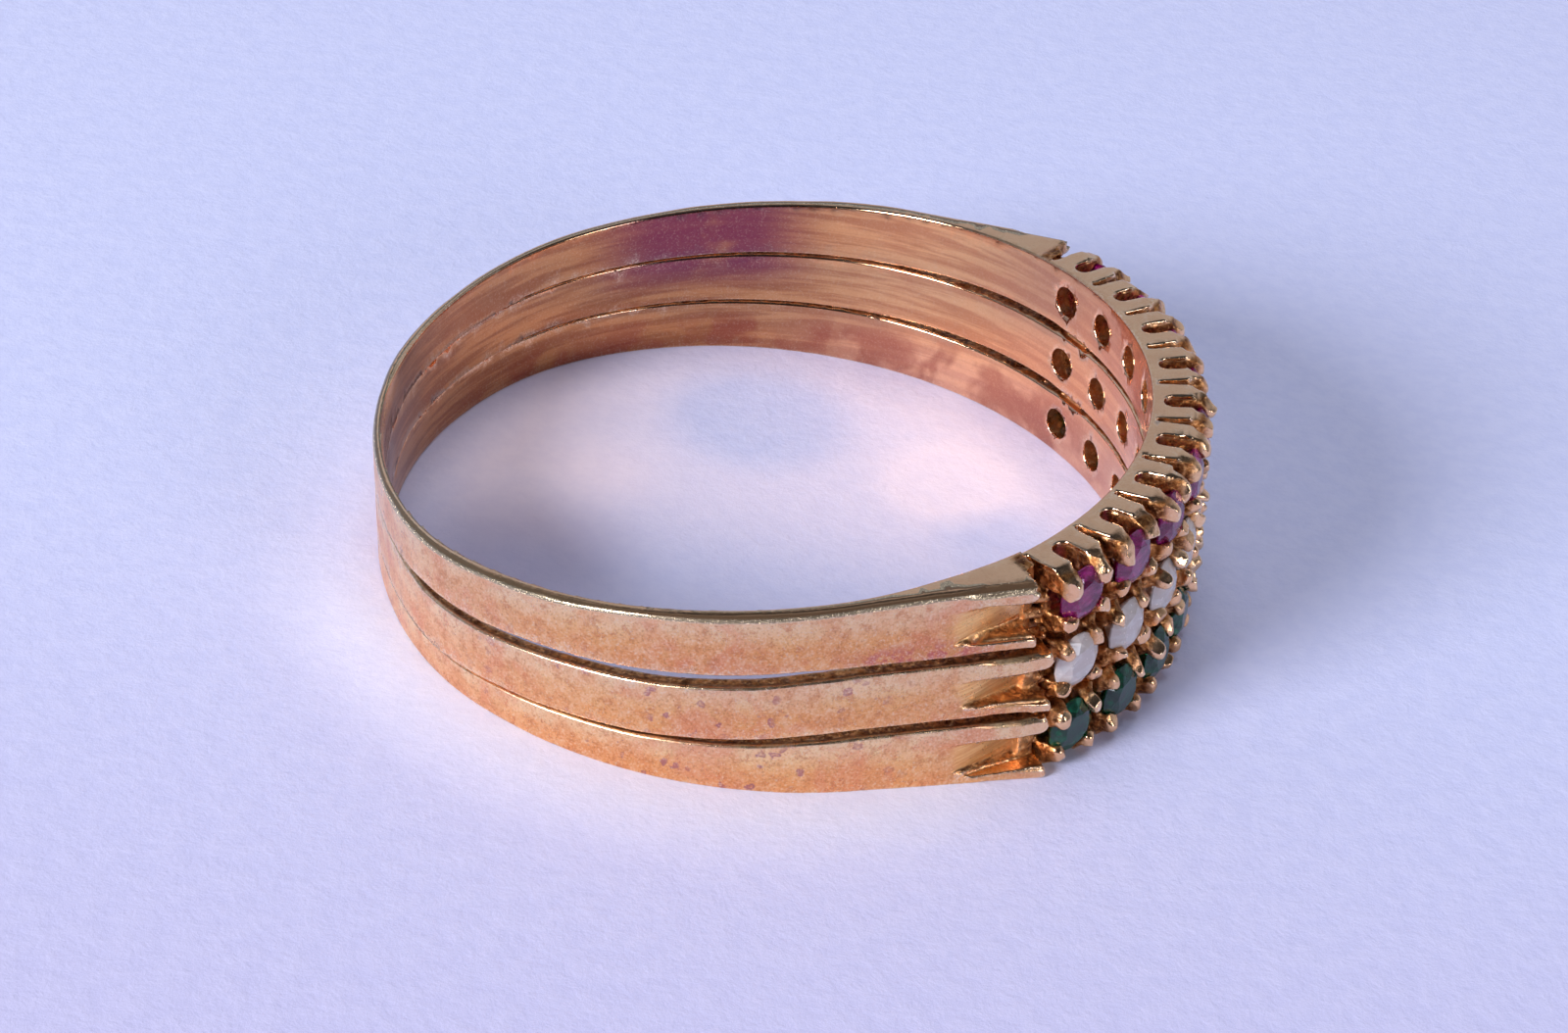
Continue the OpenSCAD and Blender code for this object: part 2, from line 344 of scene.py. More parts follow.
def drawn_arms(p, row):
    """Draws the ends of a band's arms out or in along the shoulder."""
    angle, r, side = plan_of(p)
    past = along_arm(p)[1]
    arm = (angle > HALF_HEAD) * (angle < SHOULDER) * ease(r, 9.2, 9.4)
    share = ease(past, -1.1, -0.15) * arm * ARM_REACH[row]
    return p + share[:, None] * in_plan(math.sin(SHOULDER), -math.cos(SHOULDER), side)


def worn_claws(p, row, rng):
    """Rounds and facets the claws' ends and leans them over their stones, each a little differently."""
    count = (STONES, 2, 2)
    lean, inward = rng.uniform(*CLAW_LEAN, count), rng.uniform(*CLAW_INWARD, count)
    length, start = rng.uniform(*CLAW_END, count), rng.uniform(*CLAW_START, count)
    wide, tall = rng.uniform(*CLAW_WIDE, count), rng.uniform(*CLAW_TALL, count)
    if row == 1:
        # The claws along the upper rim are sturdier
        wide[:, :, 1] = rng.uniform(0.21, 0.24, (STONES, 2))
        tall[:, :, 1] = 0.31
        lean[:, :, 1] += 0.05
        start[:, :, 1] -= 0.12
    angle, r = np.arctan2(p[:, 1], p[:, 0]), np.hypot(p[:, 0], p[:, 1])
    half = STONES // 2
    stone = np.clip(np.round(angle / STONE_STEP), -half, half)
    side = np.where(angle > stone * STONE_STEP, 1.0, -1.0)
    middle = row * half_width(p[:, 0]) * 2 / 3
    up = np.where(p[:, 2] > middle, 1.0, -1.0)
    key = ((stone + half).astype(int), (side > 0).astype(int), (up > 0).astype(int))
    top, bottom = band_faces(p, row)
    reach = np.where(up > 0, top - middle, middle - bottom)
    centre = (reach + CHANNEL_HALF) / 2
    own = stone * STONE_STEP + side * CLAW_TURN
    across, off = (angle - own) * r, np.abs(p[:, 2] - middle) - centre
    rise = r - start[key]
    sizes = np.stack([wide[key], tall[key], length[key] - start[key]], 1)
    v = np.stack([across, off, np.maximum(rise, 0)], 1) / sizes
    grip = (np.abs(v) ** CLAW_POWER).sum(1) ** (1 / CLAW_POWER)
    claw = (np.abs(angle) < HALF_HEAD) & (r > CHANNEL_R)
    narrow = (ease(rise, -0.15, 0.04) * claw)[:, None]
    v = np.where(grip[:, None] > 1, v / np.maximum(grip, 1)[:, None] * narrow + v * (1 - narrow), v)
    ways = rng.normal(size=(*count, CLAW_FACETS, 3)) * (1, 1, 0.6) + (0, 0, 0.45)
    ways /= np.linalg.norm(ways, axis=-1, keepdims=True)
    heights = rng.uniform(*FACET_AT, (*count, CLAW_FACETS))
    for k in range(CLAW_FACETS):
        way = ways[key][:, k]
        over = np.maximum((v * way).sum(1) - heights[key][:, k], 0)
        v -= over[:, None] * way * narrow
    across, off = v[:, 0] * sizes[:, 0], v[:, 1] * sizes[:, 1]
    r = np.where(rise > 0, start[key] + np.maximum(v[:, 2], 0) * sizes[:, 2], r)
    bend = ease(r, 9.5, 10.1) * claw
    across -= side * inward[key] * bend
    off -= lean[key] * bend
    angle = np.where(claw, own + across / r, angle)
    z = np.where(claw, middle + up * (centre + off), p[:, 2])
    return np.stack([r * np.cos(angle), r * np.sin(angle), z], 1)


def carved_notch(p, n, row):
    """Brings the points of a notch's slope onto it; the slope starts softly at its upper side."""
    past = along_arm(p)[1]
    far, way = outer_wall(p)
    low, high, begin = notch_lines(p, row)
    begin = begin * NOTCH_RATE
    soft = 0.01 + 0.11 * ease(p[:, 2], low - 0.1, low + 0.5)
    depth = np.minimum((begin + np.sqrt(begin ** 2 + soft ** 2)) / 2, NOTCH_MOST)
    share = ease(p[:, 2], low - 0.012, low + 0.016) * ease(p[:, 2], high + 0.05, high - 0.07)
    share = share * ease((n * way).sum(1), 0.4, 0.7) * ease(np.abs(far + depth), 0.4, 0.3)
    share = share * ease(begin, -0.3, -0.15) * ease(past, -0.2, -0.35) * (plan_of(p)[0] > HALF_HEAD)
    return p - (share * (far + depth))[:, None] * way


def slope_of(p, row):
    """From 0 to 1 on the slope of a notch."""
    return in_notch(p, row)[0] * ease(-outer_wall(p)[0], 0.01, 0.07)


def recess(p, row):
    """From 0 on the open faces to 1 down in the slits, the notches, the windows and between the claws."""
    angle, r, _ = plan_of(p)
    along, past = along_arm(p)
    top, bottom = band_faces(p, row)
    deep = -outer_wall(p)[0]
    sunk = ease(deep, 0.03, 0.12) * ease(r, HOLE_R + 0.02, HOLE_R + 0.1)
    slit_top = 0 if row == 1 else ease(p[:, 2], top - 0.06, top - 0.01)
    slit_low = 0 if row == -1 else ease(p[:, 2], bottom + 0.06, bottom + 0.01)
    slit = np.maximum(slit_top, slit_low) * sunk
    low = bottom + LOWER_FORK
    shelf = ease(p[:, 2], low + 0.07, low + 0.03) * ease(p[:, 2], low - 0.04, low - 0.01)
    shelf = shelf * (along > NOTCH_START[row]) * (angle > HALF_HEAD)
    shelf = shelf * ease(deep, 0.02, 0.07) * ease(r, 8.8, 9.0)
    notch = slope_of(p, row) * 0.9 * ease(along, 3.3, 4.1)
    head = ease(angle, HALF_HEAD + 0.03, HALF_HEAD + 0.01)
    open_top = ease(p[:, 2], top - 0.14, top - 0.05) if row == 1 else 0
    open_low = ease(p[:, 2], bottom + 0.14, bottom + 0.05) if row == -1 else 0
    tips = ease(r, 9.8, 9.98)
    inside = ease(r, HOLE_R + 0.4, HOLE_R + 0.15)
    cups = head * (1 - np.maximum(np.maximum(open_top, open_low), np.maximum(tips, inside)))
    arm_end = (angle > HALF_HEAD) * ease(past - ARM_REACH[row], -0.1, 0.05) * ease(deep, 0.15, 0.35)
    arm_end = arm_end * ease(r, HOLE_R + 0.03, HOLE_R + 0.15)
    return np.maximum(np.maximum(np.maximum(slit, notch), shelf), np.maximum(cups, arm_end))


def worn_tips(p, row):
    """From 0 to 1 on the outer ends of the claws."""
    angle, r, _ = plan_of(p)
    return ease(r, 9.6, 9.8) * (angle < HALF_HEAD) * (1 - recess(p, row))


# Making meshes


def cut_band(metal, row):
    """One band with its claws, cut from the whole ring along the middle of the slits."""
    band = metal.copy()
    for line in (2 * row - 1, 2 * row + 1):
        if abs(line) != 1:
            continue
        k = line / 6
        up = 1 if line > 2 * row else -1
        bmesh.ops.bisect_plane(
            band, geom=band.verts[:] + band.edges[:] + band.faces[:], dist=1e-6,
            plane_co=(0, 0, MID_WIDTH * k), plane_no=Vector((-TAPER * k, 0, 1)) * up, clear_outer=True)
        bmesh.ops.holes_fill(band, edges=[e for e in band.edges if e.is_boundary])
    return band


def add_bead(shape, centre, size, rng):
    """A small uneven bead of solder, to be melted into the rest."""
    made = bmesh.ops.create_icosphere(shape, subdivisions=2, radius=1)["verts"]
    for vert in made:
        vert.co *= 1 + rng.uniform(-BEAD_ROUGH, BEAD_ROUGH)
    turn = Euler([rng.uniform(0, 6.28) for _ in range(3)]).to_matrix().to_4x4()
    angle = math.atan2(centre[1], centre[0])
    fit = Matrix.Translation(centre) @ Matrix.Rotation(angle, 4, "Z") @ Matrix.Diagonal((*size, 1))
    bmesh.ops.transform(shape, matrix=fit @ turn, verts=made)


def add_solder(shape, row, rng):
    """Solder run into the first saw cuts, under the notches and between the rows of claws."""
    def bead(angle, r, z, size, spread=1.3):
        sides = [size * rng.uniform(0.8, spread) for _ in range(3)]
        add_bead(shape, (r * math.cos(angle), r * math.sin(angle), z), sides, rng)
    for side in (-1, 1):
        for _ in range(16):
            angle = side * (HALF_HEAD + rng.uniform(-0.014, 0.02))
            r = rng.uniform(8.95, 9.4)
            middle = row * half_width(r * math.cos(angle)) * 2 / 3
            bead(angle, r, middle + rng.uniform(-0.68, 0.6), rng.uniform(0.05, 0.1), 1.8)
        for _ in range(10):
            angle = side * (HALF_HEAD + rng.uniform(0.015, 0.06))
            r = rng.uniform(9.15, 9.4)
            middle = row * half_width(r * math.cos(angle)) * 2 / 3
            bead(angle, r, middle + rng.uniform(-0.4, 0.25), rng.uniform(0.04, 0.08), 2.0)
    if row == 1:
        # A heap at the far end of the upper row
        for _ in range(12):
            z = half_width(6.5) * 2 / 3 + rng.uniform(-0.5, 0.6)
            bead(HALF_HEAD + rng.uniform(-0.01, 0.02), rng.uniform(9.2, 9.7), z, rng.uniform(0.07, 0.1), 1.6)
    for k in range(2 * STONES + 1):
        angle = (k / 2 - STONES / 2) * STONE_STEP
        for up in (-1, 1):
            if abs(row + up) > 1:
                continue
            for _ in range(3):
                r = 9.3 + rng.uniform(-0.1, 0.3)
                edge = (2 * row + up) * half_width(r * math.cos(angle)) / 3
                bead(angle + rng.uniform(-0.016, 0.016), r, edge, rng.uniform(0.08, 0.13))


def with_modifiers(mesh, name, *steps):
    """A mesh with modifiers made part of it, each given as its name, type and settings."""
    piece = bpy.data.objects.new(name, mesh)
    bpy.context.scene.collection.objects.link(piece)
    for step, kind, settings in steps:
        modifier = piece.modifiers.new(step, kind)
        for key, value in settings.items():
            setattr(modifier, key, value)
    ready = piece.evaluated_get(bpy.context.evaluated_depsgraph_get())
    made = bpy.data.meshes.new_from_object(ready)
    bpy.data.objects.remove(piece)
    return made


def melted(shape, name, voxel, rounds):
    """One closed skin over all the shapes of a piece, softened, in mm."""
    mesh = bpy.data.meshes.new(name)
    shape.to_mesh(mesh)
    shape.free()
    return with_modifiers(
        mesh, name,
        ("skin", "REMESH", {"mode": "VOXEL", "voxel_size": voxel}),
        ("soft", "SMOOTH", {"factor": 0.5, "iterations": rounds}))


def thinned(mesh, name, triangles):
    """A mesh of quads brought down to about so many triangles."""
    share = triangles / (2 * len(mesh.polygons))
    return mesh if share >= 1 else with_modifiers(mesh, name, ("thin", "DECIMATE", {"ratio": share}))


def points_of(mesh, what="co"):
    """The places of a mesh's points, or their normals."""
    flat = np.empty(len(mesh.vertices) * 3, np.float32)
    mesh.vertices.foreach_get(what, flat)
    return flat.reshape(-1, 3).astype(float)


def put_points(mesh, points):
    """Moves a mesh's points."""
    mesh.vertices.foreach_set("co", points.astype(np.float32).ravel())
    mesh.update()


def store(mesh, name, values):
    """Keeps a value at each point of a mesh, for its finish."""
    layer = mesh.attributes.new(name, "FLOAT", "POINT")
    layer.data.foreach_set("value", values.astype(np.float32))


def bulge(mesh, points, rounds):
    """How far each point stands out of the surface round it, in mm."""
    pairs = np.empty(len(mesh.edges) * 2, np.int32)
    mesh.edges.foreach_get("vertices", pairs)
    a, b = pairs[0::2], pairs[1::2]
    size = len(points)
    count = np.maximum(np.bincount(a, minlength=size) + np.bincount(b, minlength=size), 1)

    def even_out(values):
        return (np.bincount(a, values[b], size) + np.bincount(b, values[a], size)) / count

    even = points.T
    for _ in range(rounds):
        even = np.stack([even_out(column) for column in even])
    return even_out(((points - even.T) * points_of(mesh, "normal")).sum(1))


def gold_band(metal, name, row):
    """One band with its two arms, its claws and its solder, as a mesh in mm."""
    rng = random.Random(40 + row)
    band = cut_band(metal, row)
    add_solder(band, row, rng)
    mesh = melted(band, name, VOXEL, 3)
    points = drawn_arms(worn_slits(points_of(mesh), row), row)
    points = worn_claws(points, row, np.random.default_rng(60 + row))
    put_points(mesh, points)
    normals = points_of(mesh, "normal")
    points = carved_notch(true_up(points, normals, row), normals, row)
    put_points(mesh, points)
    store(mesh, "edge", ease(bulge(mesh, points, 5), 0.003, 0.012))
    deep, tips = recess(points, row), worn_tips(points, row)
    rough = lumps(points, 0.15, 5 + row) * 0.6 + lumps(points, 0.08, 9 + row) * 0.4
    bent = lumps(points, 1.6, 12) + 0.4 * lumps(points, 0.7, 15) + 0.2 * lumps(points, 0.2, 18)
    rough = rough * (HOLLOW_ROUGH * deep * ease(-outer_wall(points)[0], 0.06, 0.2) + TIP_ROUGH * tips)
    points += points_of(mesh, "normal") * (rough + bent * UNEVEN)[:, None]
    put_points(mesh, points)
    mesh = thinned(mesh, name, BAND_TRIANGLES)
    points = points_of(mesh)
    angle, r, _ = plan_of(points)
    top, bottom = band_faces(points, row)
    deep, tips = recess(points, row), worn_tips(points, row)
    store(mesh, "hollow", deep)
    store(mesh, "slope", slope_of(points, row))
    store(mesh, "height", (points[:, 2] - bottom) / (top - bottom))
    rubbed = ease(points[:, 2], top - 0.22, top - 0.08) * ease(r, HOLE_R, HOLE_R + 0.08) * (row == 1)
    tip = ease(along_arm(points)[1] - ARM_REACH[row], -0.9, -0.1) * (angle > HALF_HEAD) * (r > 9.2)
    store(mesh, "rubbed", np.maximum(np.maximum(rubbed, tips * 0.8), tip * 0.7) * (1 - deep))
    store(mesh, "sunk", -outer_wall(points)[0])
    store(mesh, "inner", ease(r, HOLE_R + 0.05, HOLE_R + 0.01))
    rim = (row == 1) * (angle > HALF_HEAD) * (points[:, 2] > top - 0.3)
    rim = rim * ease(r, HOLE_R + 0.08, HOLE_R + 0.14) * (outer_wall(points)[0] > -0.21)
    store(mesh, "rim", points_of(mesh, "normal")[:, 2] * rim)
    put_points(mesh, bent_in(points))
    return mesh


def finished(mesh, name, finish):
    """Puts a mesh in mm in its place, as a piece that stands for the metal of the ring."""
    mesh.transform(TO_REST)
    mesh.materials.clear()
    mesh.materials.append(finish)
    mesh.shade_smooth()
    piece = bpy.data.objects.new(name, mesh)
    bpy.context.scene.collection.objects.link(piece)
    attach(piece, "root")
    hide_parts("gold_ring")


# Finishes


class Value:
    """A socket in a finish, so that sums on sockets are written as plain sums."""

    def __init__(self, nodes, socket):
        self.nodes = nodes
        self.socket = socket

    def worked(self, operation, *terms):
        return self.nodes.node("Math", {"operation": operation}, dict(enumerate(terms)))

    def __add__(self, other):
        return self.worked("ADD", self, other)

    __radd__ = __add__

    def __sub__(self, other):
        return self.worked("SUBTRACT", self, other)

    def __rsub__(self, other):
        return self.worked("SUBTRACT", other, self)

    def __mul__(self, other):
        return self.worked("MULTIPLY", self, other)

    __rmul__ = __mul__

    def __pow__(self, other):
        return self.worked("POWER", self, other)

    def least(self, other):
        return self.worked("MINIMUM", self, other)

    def most(self, other):
        return self.worked("MAXIMUM", self, other)


class Nodes:
    """The nodes of a finish or of the room."""

    def __init__(self, tree):
        self.tree = tree
        self.tree.nodes.clear()

    def node(self, kind, settings=None, inputs=None, out=0):
        """A node of one kind: its settings, then its sockets' values or links, by name or number."""
        made = self.tree.nodes.new("ShaderNode" + kind)
        for key, value in (settings or {}).items():
            setattr(made, key, value)
        for key, value in (inputs or {}).items():
            if isinstance(value, Value):
                self.tree.links.new(value.socket, made.inputs[key])
            else:
                made.inputs[key].default_value = value
        return Value(self, made.outputs[out]) if made.outputs else made

    def axes(self, point):
        """The three parts of a vector."""
        made = self.node("SeparateXYZ", inputs={0: point}).socket.node
        return [Value(self, made.outputs[k]) for k in range(3)]

    def step(self, value, low, high):
        """Goes smoothly from 0 at low to 1 at high."""
        return self.node("MapRange", {"interpolation_type": "SMOOTHSTEP"},
                         {"Value": value, "From Min": low, "From Max": high})

    def blend(self, share, low, high):
        """Mixes two colours."""
        low, high = (c if isinstance(c, Value) else (*c, 1) for c in (low, high))
        return self.node("Mix", {"data_type": "RGBA"}, {0: share, 6: low, 7: high}, out=2)


class Finish(Nodes):
    """One material."""

    def __init__(self, name):
        self.material = bpy.data.materials.new(name)
        self.material.use_nodes = True
        super().__init__(self.material.node_tree)

    def here(self):
        """A point of the surface in mm, in the ring's own frame."""
        shift = (-MID_WIDTH / 2000 * math.sin(TIP), 0, MID_WIDTH / 2000 * math.cos(TIP))
        return self.node("Mapping", {"vector_type": "TEXTURE"}, {
            "Vector": self.node("TexCoord", out="Object"), "Location": shift,
            "Rotation": (0, -TIP, 0), "Scale": (0.001, 0.001, 0.001)})

    def stretched(self, point, scale, shift=(0, 0, 0)):
        """A point scaled, then shifted."""
        return self.node("Mapping", inputs={"Vector": point, "Scale": scale, "Location": shift})

    def grain(self, point, scale, detail=3.0, rough=0.55, warp=0.0):
        """Cloudy noise, from 0 to 1."""
        return self.node("TexNoise", inputs={
            "Vector": point, "Scale": scale, "Detail": detail, "Roughness": rough, "Distortion": warp})

    def cells(self, point, scale, out="Distance"):
        """Scattered cells: the distance to the nearest one's middle, or its own colour."""
        return self.node("TexVoronoi", inputs={"Vector": point, "Scale": scale}, out=out)

    def mark(self, name):
        """A value stored at the points of a piece."""
        return self.node("Attribute", {"attribute_name": name}, out="Fac")

    def relief(self, height, distance, strength):
        """A normal that follows a height."""
        return self.node("Bump", inputs={"Height": height, "Distance": distance, "Strength": strength})

    def surface(self, **sockets):
        """The shader itself; names use _ for a space."""
        inputs = {key.replace("_", " "): value for key, value in sockets.items()}
        shader = self.node("BsdfPrincipled", inputs=inputs)
        self.node("OutputMaterial", inputs={"Surface": shader})
        return self.material


TONES = {
    "yellow": (0.98, 0.62, 0.27), "red": (0.93, 0.44, 0.16), "orange": (0.94, 0.45, 0.14),
    "painted_top_sheen": (1.0, 0.74, 0.42), "pale_back": (1.0, 0.72, 0.46), "copper": (0.84, 0.27, 0.10),
    "blotch": (0.84, 0.35, 0.14), "pale_mottle": (1.0, 0.64, 0.34), "dark_mottle": (0.68, 0.27, 0.11),
    "rosy": (0.84, 0.29, 0.16), "pale_fleck": (1.0, 0.78, 0.52), "dark_fleck": (0.50, 0.20, 0.09),
    "inner_shade_pale": (0.62, 0.28, 0.11), "inner_shade_dark": (0.38, 0.14, 0.06),
    "inner_lit_pale": (0.98, 0.54, 0.25), "inner_lit_dark": (0.72, 0.32, 0.15), "inner_lit_head": (0.66, 0.34, 0.22),
    "inner_lit_low": (1.0, 0.66, 0.48), "purple": (0.24, 0.05, 0.10), "burgundy": (0.36, 0.08, 0.06),
    "red_stain": (0.58, 0.10, 0.11), "purple_spot": (0.42, 0.15, 0.20),
    "slope_lit_pale": (1.0, 0.64, 0.24), "slope_dark": (0.80, 0.38, 0.11),
    "rubbed": (1.0, 0.66, 0.38), "rubbed_dark": (0.90, 0.50, 0.26), "edge": (1.0, 0.84, 0.6),
    "speck": (0.98, 0.84, 0.54), "olive_rim_shade": (0.028, 0.025, 0.012), "brown_rim_shade": (0.065, 0.032, 0.014),
    "deep_dark_shade": (0.14, 0.04, 0.009), "deep_pale": (0.60, 0.23, 0.06), "deep_glint": (0.92, 0.46, 0.16),
    "deep_edge": (0.86, 0.44, 0.18), "shallow_recess_shade": (0.05, 0.02, 0.006),
}


def inner_wall_colour(f, at, x, z):
    """Brushed along the wall, with painted shade on the left and painted light on the right, paler low down
    and darker towards the head.
    """
    worn = f.grain(f.stretched(at, (0.3, 0.3, 5)), 1.0, 4, 0.6, 0.2)
    shaded = f.blend(f.step(worn, 0.4, 0.6), TONES["inner_shade_pale"], TONES["inner_shade_dark"])
    lit = f.blend(f.step(worn, 0.4, 0.6), TONES["inner_lit_pale"], TONES["inner_lit_dark"])
    lit = f.blend(f.step(x, 4.0, 6.5) * 0.5, lit, TONES["inner_lit_head"])
    lit = f.blend(f.step(z, -0.6, -1.8) * 0.5, lit, TONES["inner_lit_low"])
    return f.blend(f.step(x, -2.5, 4.0), shaded, lit)


def spots(f, at, x, z, inner):
    """Ring-shaped spots of tarnish in patches on the middle and the lower band."""
    stained = f.step(x, 5.0, 2.0) * f.step(x, -6.5, -3.0) * f.step(z, 1.2, 0.3) * (1 - inner)
    stained = stained * f.step(f.grain(at, 0.7, 3, 0.6), 0.4, 0.54)
    wander = f.node("TexNoise", inputs={"Vector": at, "Scale": 5.0}, out="Color")
    bent = f.node("VectorMath", {"operation": "MULTIPLY_ADD"}, {0: wander, 1: (0.35, 0.35, 0.35), 2: at})
    away = f.cells(bent, 3.0)
    chosen = f.step(f.cells(bent, 3.0, out="Color"), 0.5, 0.52) * stained
    return f.step(away, 0.36, 0.26) * (1 - f.step(away, 0.2, 0.08) * 0.6) * chosen


def gold_finish():
    """Worn red gold: satin, blotched and spotted with tarnish, paler where it is rubbed."""
    f = Finish("worn_gold")
    at = f.here()
    x, y, z = f.axes(at)
    edge, hollow, rubbed, inner = f.mark("edge"), f.mark("hollow"), f.mark("rubbed"), f.mark("inner")
    height, slope, sunk, rim = f.mark("height"), f.mark("slope"), f.mark("sunk"), f.mark("rim")

    # Patches and grains of several sizes
    hue = f.grain(f.stretched(at, (1, 1, 1.6), (3, 11, 5)), 0.5, 4, 0.6, 0.3)
    blotch = f.step(f.grain(at, 1.1, 4, 0.6, 0.4), 0.42, 0.62)
    mottle = f.grain(at, 4.0, 5, 0.72)
    fine = f.grain(at, 19.0, 3, 0.7)
    tint = f.step(f.grain(f.stretched(at, (1, 1, 1), (31, 7, 3)), 0.8, 4, 0.6, 0.5), 0.5, 0.66)
    fleck = f.step(f.grain(f.stretched(at, (1, 1, 1), (5, 17, 9)), 17.0, 2, 0.6), 0.6, 0.72)
    crumbs = f.step(f.grain(f.stretched(at, (1, 1, 1), (2, 9, 4)), 26.0, 2, 0.6), 0.5, 0.6)
    glint = f.step(f.grain(at, 11.0, 3, 0.6), 0.5, 0.66)
    file_marks = f.node("CombineXYZ", inputs={0: x * 0.6, 1: y * 0.6, 2: (z - x * 0.25) * 30})
    streak = f.grain(file_marks, 1.0, 4, 0.65)

    # The outer walls: yellower towards each band's upper side and redder below, partly a painted sheen;
    # copper over the upper slit
    colour = f.blend(f.step(hue + (0.5 - height) * 0.4, 0.34, 0.62), TONES["yellow"], TONES["red"])
    colour = f.blend(f.step(z, -1.2, -0.2) * 0.4, colour, TONES["orange"])
    # Paler along each band's upper part: a painted highlight
    colour = f.blend(f.step(height + hue * 0.6, 0.75, 1.15) * 0.75, colour, TONES["painted_top_sheen"])
    copper = f.step(height, 0.5, 0.1) * f.step(z, 0.2, 0.5) * f.step(x, -2.6, -1.2) * f.step(x, 2.4, 1.0)
    colour = f.blend(copper * f.step(mottle, 0.38, 0.6) * 0.6, colour, TONES["copper"])
    colour = f.blend(f.step(x, -2.0, -7.0) * 0.45, colour, TONES["pale_back"])
    colour = f.blend(blotch * 0.55, colour, TONES["blotch"])
    colour = f.blend(f.step(mottle, 0.5, 0.64) * 0.6, colour, TONES["pale_mottle"])
    colour = f.blend(f.step(mottle, 0.5, 0.36) * 0.6, colour, TONES["dark_mottle"])
    colour = f.blend(tint * 0.45, colour, TONES["rosy"])
    colour = f.blend(inner * 0.9, colour, inner_wall_colour(f, at, x, z))

    # Stains: purple inside the back, burgundy low inside, red over the upper slit, and spots
    purple = f.step(f.grain(at, 0.5, 3, 0.5, 0.3), 0.25, 0.42) * f.step(y, 5.8, 7.4) * f.step(z, -0.5, 0.5)
    purple = purple * f.step(x, -5.6, -3.4) * f.step(x, 0.9, -1.3) * inner
    burgundy = f.step(f.grain(at, 0.8, 3, 0.5, 0.4), 0.42, 0.6) * f.step(z, -0.7, -1.5)
    burgundy = burgundy * inner * f.step(y, 2, 6)
    red = f.step(height, 0.4, 0.1) * f.step(z, 0.7, 0.8) * f.step(x, 2.4, 3.4) * f.step(x, 6.3, 5.0)
    red = red * f.step(mottle, 0.4, 0.56) * (1 - inner)
    ring_spot = spots(f, at, x, z, inner)
    colour = f.blend(purple * 0.9, colour, TONES["purple"])
    colour = f.blend(burgundy * 0.6, colour, TONES["burgundy"])
    colour = f.blend(red * 0.8, colour, TONES["red_stain"])
    colour = f.blend(ring_spot * 0.75, colour, TONES["purple_spot"])

    # Flecks, the notches' filed slopes, partly painted light, and rubbed places and edges
    fleck_share = 0.55 - inner * 0.4
    colour = f.blend(f.step(fine, 0.52, 0.66) * fleck_share, colour, TONES["pale_fleck"])
    colour = f.blend(f.step(fine, 0.46, 0.32) * fleck_share, colour, TONES["dark_fleck"])
    # File marks on the notches' slopes, in a bright golden tone that partly stands in for light thrown onto
    # them
    filed_and_lit = f.blend(f.step(streak, 0.4, 0.6), TONES["slope_lit_pale"], TONES["slope_dark"])
    colour = f.blend(slope * 0.75, colour, filed_and_lit)
    colour = f.blend(rubbed * 0.85, colour, f.blend(mottle, TONES["rubbed"], TONES["rubbed_dark"]))
    colour = f.blend(edge * (0.25 + f.step(fine, 0.48, 0.6) * 0.6), colour, TONES["edge"])

    # The upper rim's rounded edge: painted shade above, standing in for a dark reflection, and made less
    # metallic; below, pale specks, partly painted glints, among more painted shade
    dark_rim_shade = f.step(rim, 0.5, 0.66) * f.step(rim, 0.93, 0.86)
    speckled = f.step(rim, 0.12, 0.25) * f.step(rim, 0.7, 0.6)
    # Painted shade over the rim's dark band and between the pale specks
    rim_shade = (dark_rim_shade + speckled * (1 - crumbs) * 0.7).least(1) * 0.85
    colour = f.blend(speckled * 0.8, colour, TONES["speck"])
    colour = f.blend(rim_shade, colour, f.blend(f.step(x, -3.5, -0.5), TONES["olive_rim_shade"], TONES["brown_rim_shade"]))

    # Down in the slits, the notches and between the claws: the solder's and tarnish's own browns, darkened as
    # painted shade, with pale glints that are partly painted highlights and paler bulging lumps that are
    # partly painted light
    deep = f.blend(f.step(mottle, 0.4, 0.62), TONES["deep_dark_shade"], TONES["deep_pale"])
    deep = f.blend(glint * 0.8, deep, TONES["deep_glint"])
    deep = f.blend(edge * 0.6, deep, TONES["deep_edge"])
    # Painted shade, darkest just inside the slits and the notches
    deep = f.blend(f.step(sunk, 0.2, 0.08) * 0.8, deep, TONES["shallow_recess_shade"])
    colour = f.blend(hollow * 0.95, colour, deep)

    rough = 0.29 + blotch * 0.06 + (mottle - 0.5) * 0.2 + ring_spot * 0.1 + hollow * (0.12 - glint * 0.12)
    rough = rough - edge * 0.1 - rubbed * 0.13 - inner * 0.17 - fleck * 0.05
    relief = streak * 0.3 + mottle * 0.3 + fine * (hollow * 1.6 + 0.25) + fleck * 0.2
    relief = relief * (1 - inner * 0.7) + f.grain(at, 9.0, 3, 0.7) * hollow * 3.0 + speckled * crumbs * 1.5
    return f.surface(Base_Color=colour, Metallic=1 - slope * 0.4 - rim_shade * 0.5, Roughness=rough.most(0.09),
                     Normal=f.relief(relief, 0.000012, 0.6))


def gem_finish(name, deep, pale, roughness, clear, bend):
    """A worn cut stone, with cloudy patches and a rubbed surface."""
    f = Finish(name)
    at = f.here()
    cloud = f.step(f.grain(f.stretched(at, (1.2, 1.2, 3.0)), 1.6, 3, 0.6, 0.6), 0.42, 0.66)
    rough = roughness + f.step(f.grain(at, 9.0, 4, 0.7), 0.45, 0.75) * 0.16
    normal = f.relief(f.grain(at, 12.0, 3, 0.65), 0.000006, 0.3)
    return f.surface(Base_Color=f.blend(cloud, deep, pale), Roughness=rough, Normal=normal, IOR=bend,
                     Transmission_Weight=clear)


